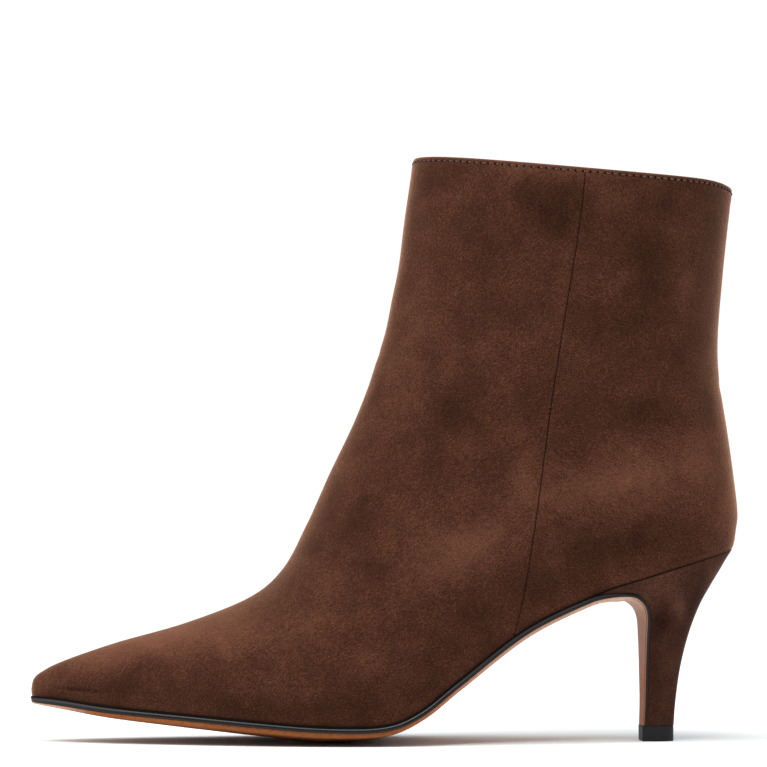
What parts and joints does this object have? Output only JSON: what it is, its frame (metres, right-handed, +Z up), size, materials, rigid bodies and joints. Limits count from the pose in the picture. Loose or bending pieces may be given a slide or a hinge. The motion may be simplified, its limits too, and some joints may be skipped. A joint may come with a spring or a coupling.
{
  "type": "heeled ankle boot",
  "caption": "Pointed suede ankle boot on a slim curved heel, with a hollow upper open at the collar, a thin black edge and a tan sole that turns down the heel breast",
  "frame": {"origin": "on the floor, below the middle of the boot's box", "axes": "+X from the toe to the heel, +Y towards the inner side of the foot, +Z up"},
  "size_m": [0.2534, 0.0794, 0.2096],
  "materials": {
    "suede": "dark brown suede with a short cloudy nap",
    "sock": "plain smooth lining leather",
    "black_edge": "black edge dressing with a soft gloss",
    "tan_sole": "smooth tan sole leather",
    "heel_suede": "dark brown suede wrapped round the heel",
    "tip_rubber": "matt black rubber"
  },
  "bodies": {
    "root": {"upper": "suede", "insole": "sock", "welt": "black_edge", "outsole": "tan_sole", "heel": "heel_suede", "top_piece": "tip_rubber"}
  },
  "joints": []
}
